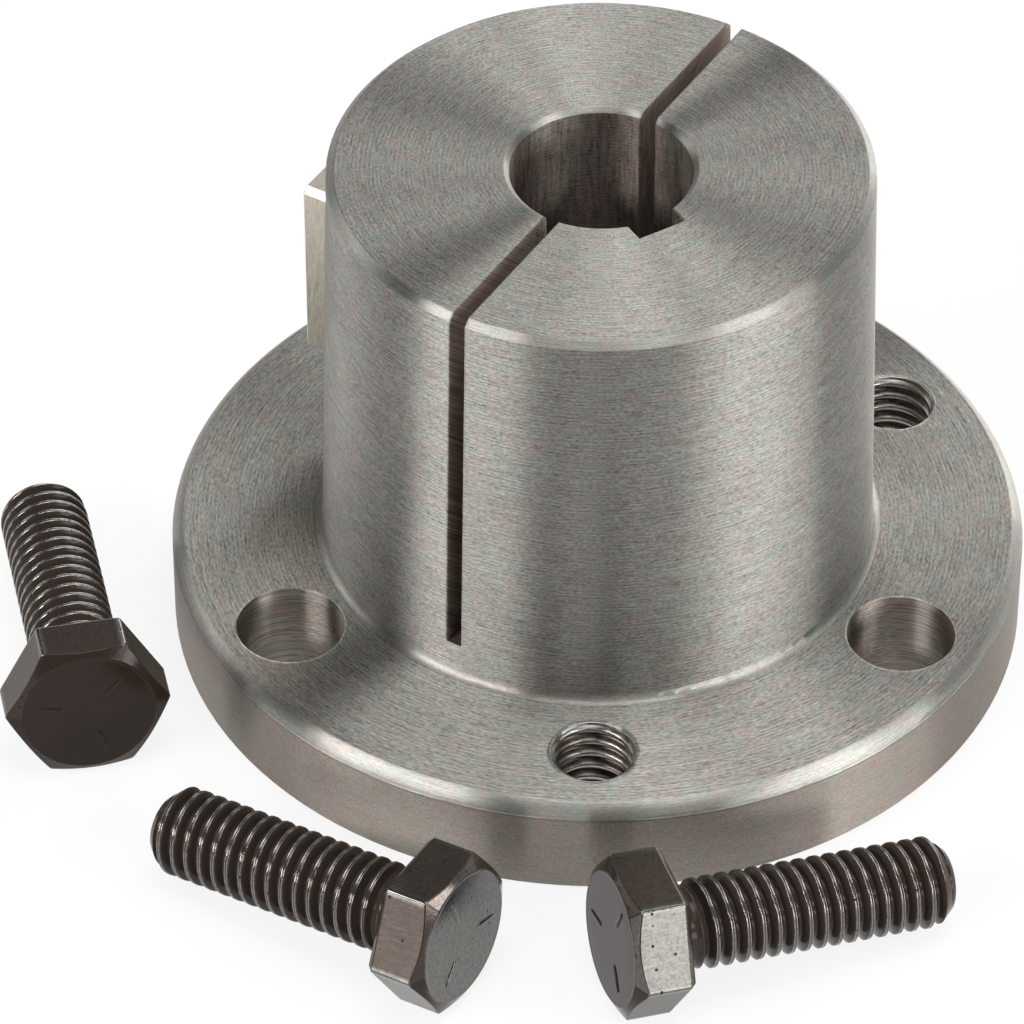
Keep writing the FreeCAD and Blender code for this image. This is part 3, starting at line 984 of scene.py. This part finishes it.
class BUSHING_OT_set_stage(Operator):
    """Lay the pale floor, hang the lamps and stand the camera where the photograph was taken"""
    bl_idname = "bushing.set_stage"
    bl_label = "Set Stage"

    def execute(self, context):
        plan = context.scene.bushing_stage
        half = plan.floor_width / 2
        sheet = bpy.data.meshes.new("floor")
        corners = np.array([[-1, -1, 0], [1, -1, 0], [1, 1, 0], [-1, 1, 0]], float) * half
        sheet.from_pydata(corners.tolist(), [], [(0, 1, 2, 3)])
        sheet.materials.append(white_floor(plan))
        floor = bpy.data.objects.new("floor", sheet)
        context.scene.collection.objects.link(floor)
        for entry in LAMPS:
            lamp(*entry)
        studio_world(plan)
        view = bpy.data.cameras.new("camera")
        view.lens, view.sensor_width, view.sensor_fit = plan.focal_length, 36.0, "HORIZONTAL"
        view.clip_start, view.clip_end = 0.01, 20.0
        camera = bpy.data.objects.new("camera", view)
        camera.location = plan.camera_place
        camera.rotation_euler = (np.pi / 2 - plan.camera_pitch, 0.0, plan.camera_yaw)
        context.scene.collection.objects.link(camera)
        context.scene.camera = camera
        context.scene.view_settings.view_transform = "Standard"
        return {"FINISHED"}


def refinish(node, material):
    """Gives a CAD node another material in its one slot."""
    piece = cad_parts.get(node)
    if piece is None or len(piece.material_slots) != 1:
        raise RuntimeError("the packed model has no node " + node + " with one material")
    piece.material_slots[0].material = material


class BUSHING_OT_finish_body(Operator):
    """Finish the flange, barrel and bore as turned steel"""
    bl_idname = "bushing.finish_body"
    bl_label = "Finish Body"

    def execute(self, context):
        refinish("bushing_body", turned_steel(context.scene.bushing_steel))
        return {"FINISHED"}


class BUSHING_OT_finish_key(Operator):
    """Finish the barrel's key as drawn key steel"""
    bl_idname = "bushing.finish_key"
    bl_label = "Finish Key"

    def execute(self, context):
        refinish("barrel_key", key_steel(context.scene.bushing_steel))
        return {"FINISHED"}


class BUSHING_OT_tap_holes(Operator):
    """Cut the threads in the two jacking holes, with a flat lip around each mouth"""
    bl_idname = "bushing.tap_holes"
    bl_label = "Tap Holes"

    def execute(self, context):
        scene = context.scene
        plan = scene.bushing_thread
        threads = joined([tapped_thread(plan, angle) for angle in JACKING_ANGLES])
        lips = joined([
            hole_lip(plan, angle, top)
            for angle in JACKING_ANGLES for top in (True, False)
        ])
        for name, parts, finish in (
            ("tapped_threads", threads, cut_thread_steel(scene.bushing_steel, plan)),
            ("hole_lips", lips, bpy.data.materials["turned_steel"]),
        ):
            made = solid_object(name, parts, finish)
            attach(made, "root")
        return {"FINISHED"}


class BUSHING_OT_lay_screws(Operator):
    """Make the three cap screws and lay them around the flange"""
    bl_idname = "bushing.lay_screws"
    bl_label = "Lay Screws"

    def execute(self, context):
        scene = context.scene
        oxide = black_oxide(scene.bushing_screw)
        for number, place in enumerate(SCREW_PLACES, start=1):
            upright, quads, triangles = cap_screw(
                scene.bushing_screw, scene.bushing_thread, place.dash_turn)
            parts = lay_down(upright, place), quads, triangles
            screw = solid_object("cap_screw_" + str(number), parts, oxide)
            note_upright(screw, upright)
            note_rub_and_sheen(screw, upright, place)
            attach(screw, "root")
            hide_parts("cap_screws")
        return {"FINISHED"}


class BUSHING_PT_make(Panel):
    """Lists the bushing's pieces and their sizes"""
    bl_label = "Bushing"
    bl_idname = "BUSHING_PT_make"
    bl_space_type = "VIEW_3D"
    bl_region_type = "UI"
    bl_category = "Bushing"

    def draw(self, context):
        for operator in OPERATORS:
            self.layout.operator(operator.bl_idname)
        for name, kind in PLANS.items():
            box = self.layout.box()
            for field in kind.__annotations__:
                box.prop(getattr(context.scene, name), field)


PLANS = {
    "bushing_stage": StagePlan,
    "bushing_steel": SteelPlan,
    "bushing_thread": ThreadPlan,
    "bushing_screw": ScrewPlan,
}
OPERATORS = (
    BUSHING_OT_set_stage,
    BUSHING_OT_finish_body,
    BUSHING_OT_finish_key,
    BUSHING_OT_tap_holes,
    BUSHING_OT_lay_screws,
)


def register():
    for entry in (*PLANS.values(), *OPERATORS, BUSHING_PT_make):
        bpy.utils.register_class(entry)
    for name, kind in PLANS.items():
        setattr(bpy.types.Scene, name, PointerProperty(type=kind))


def unregister():
    for name in PLANS:
        delattr(bpy.types.Scene, name)
    for entry in (BUSHING_PT_make, *OPERATORS[::-1], *PLANS.values()):
        bpy.utils.unregister_class(entry)


def main():
    """Registers the add-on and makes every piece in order."""
    register()
    bpy.ops.bushing.set_stage()
    bpy.ops.bushing.finish_body()
    bpy.ops.bushing.finish_key()
    bpy.ops.bushing.tap_holes()
    bpy.ops.bushing.lay_screws()


if __name__ == "__main__":
    main()
